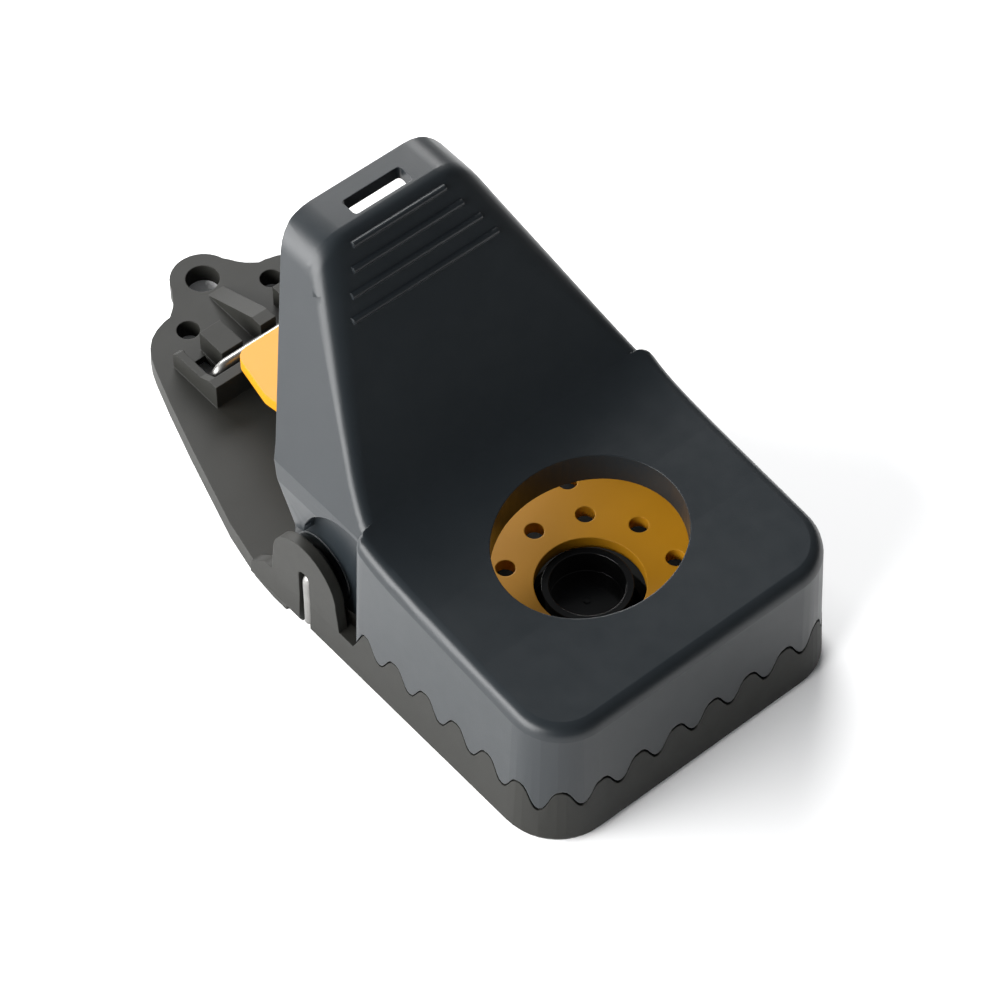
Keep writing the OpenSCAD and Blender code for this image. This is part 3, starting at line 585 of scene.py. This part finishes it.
under_coil, dip = (LEG_X, HINGE[1], HINGE[2] - COIL_R), (LEG_X, DIP_Y, HINGE[2] - COIL_R)
foot, heel = (LEG_X, LOW_Y, LEG_Z), (LEG_X - LEAN, CROSS_Y, LEG_Z)
shoulder, middle = (LOOP_X, CROSS_Y, CROSS_Z), (0.0, CROSS_Y, CROSS_Z)
half = np.concatenate([
    [tip], straight(tip, coil[0], 8), coil,
    rounded_corner(under_coil, dip, foot, DIP_BEND, 8),
    rounded_corner(dip, foot, heel, DIP_BEND, 8),
    straight((LEG_X, FLAT_FRONT, LEG_Z), (LEG_X, FLAT_BACK, LEG_Z), 10),
    rounded_corner(foot, heel, shoulder, RISE_BEND, 12),
    rounded_corner(heel, shoulder, middle, CROSS_BEND, 16),
    straight((LOOP_X - CROSS_BEND, CROSS_Y, CROSS_Z), middle, 8), [middle]])
print("half of the spring has", len(half), "points")

# %% [markdown]
# ## The spring in the trap
# Its leg stays with the base and its arm turns with the jaw, so the coil between them is
# wound tighter as the lever goes down. Here the half is made once for each side, the left
# one mirrored, and the frame's own spring is hidden.

# %% Spring
for side, name in ((1, "spring_right"), (-1, "spring_left")):
    piece = swept(name, half * (side * MM, MM, MM), SPRING_R * MM, steel, 16, flat_end=True)
    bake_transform(piece)
    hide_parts("main_spring")

# %% [markdown]
# ## Which finish each moulding has
# The frame keeps one material slot for each piece. The new skins got their finishes when they
# were welded, and here each is printed with the name of its slot.

# %% Slots
for piece, slot in ((base_tray, "base_plastic"), (jaw_lever, "jaw_plastic"),
                    (trigger_plate, "trigger_plastic"), (bait_cup, "cup_plastic")):
    print(piece.name, "is in slot", slot)

# %% [markdown]
# ## Floor and light
# Dark plastic shows its form mostly by what it mirrors. The pale floor and a low, wide
# panel at the rear left draw the light side walls, and a panel behind adds a thin
# highlight along the top edges. Nothing bright hangs above, so the tops stay dark and even.

# %% Stage
PAPER, PAPER_ROUGH, PAPER_HALF = (0.95, 0.95, 0.95, 1), 0.9, 4
ROOM_TINT, ROOM_STRENGTH = (0.93, 0.96, 1.0, 1), 0.16
TRAP_MIDDLE = (0, -0.005, 0.015)


def panel(name, place, aim, width, height, watts):
    """Area light at place whose own -Z axis, the way it shines, points at aim."""
    data = bpy.data.lights.new(name, "AREA")
    data.shape, data.size, data.size_y = "RECTANGLE", width, height
    data.energy = watts
    light = bpy.data.objects.new(name, data)
    light.location = place
    light.rotation_euler = (Vector(aim) - Vector(place)).to_track_quat("-Z", "Y").to_euler()
    bpy.context.scene.collection.objects.link(light)
    print(name, "is", width, "by", height, "m with", watts, "W")


panel("side_panel", (-0.80, 0.22, 0.37), TRAP_MIDDLE, width=1.3, height=0.62, watts=34.0)
panel("back_panel", (0.30, 0.80, 0.52), TRAP_MIDDLE, width=1.0, height=0.4, watts=20.0)

world = bpy.data.worlds.new("studio")
world.use_nodes = True
world.node_tree.nodes["Background"].inputs["Color"].default_value = ROOM_TINT
world.node_tree.nodes["Background"].inputs["Strength"].default_value = ROOM_STRENGTH
bpy.context.scene.world = world

floor_mesh = bpy.data.meshes.new("floor")
floor_mesh.from_pydata([(x * PAPER_HALF, y * PAPER_HALF, 0)
                        for x, y in ((-1, -1), (1, -1), (1, 1), (-1, 1))], [], [(0, 1, 2, 3)])
floor = bpy.data.objects.new("floor", floor_mesh)
bpy.context.scene.collection.objects.link(floor)
paper = Finish("paper")
paper.set(Base_Color=PAPER, Roughness=PAPER_ROUGH)
floor_mesh.materials.append(paper.material)

# %% [markdown]
# ## Camera
# The camera looks down at about 51 degrees from the front left, through a long lens that
# keeps the sides of the trap nearly parallel. It is turned by its azimuth and elevation,
# and then moved a little sideways and down, which places the trap in the picture without
# turning the view.

# %% Camera
AZIMUTH, ELEVATION = np.radians(-40.3621), np.radians(51.523)
AIM, DISTANCE = np.array([0, 0.37, 15.0]), 529.949
SIDEWAYS, DOWN = 8.0747, 8.2793
FOCAL, SENSOR = 160.0, 36.0  # mm
NEAREST, FARTHEST = 0.01, 20.0  # m

back = np.array([np.sin(AZIMUTH) * np.cos(ELEVATION),
                 -np.cos(AZIMUTH) * np.cos(ELEVATION), np.sin(ELEVATION)])
right = np.array([np.cos(AZIMUTH), np.sin(AZIMUTH), 0])
up = np.cross(back, right)
seat = AIM + DISTANCE * back + SIDEWAYS * right - DOWN * up
lens = bpy.data.cameras.new("camera")
lens.lens, lens.sensor_width = FOCAL, SENSOR
lens.clip_start, lens.clip_end = NEAREST, FARTHEST
camera = bpy.data.objects.new("camera", lens)
pose = np.eye(4)
pose[:3, 0], pose[:3, 1], pose[:3, 2], pose[:3, 3] = right, up, back, seat * MM
camera.matrix_world = Matrix(pose.tolist())
bpy.context.scene.collection.objects.link(camera)
bpy.context.scene.camera = camera
bpy.context.scene.view_settings.view_transform = "Standard"
print("camera at", [round(x, 1) for x in seat], "mm")
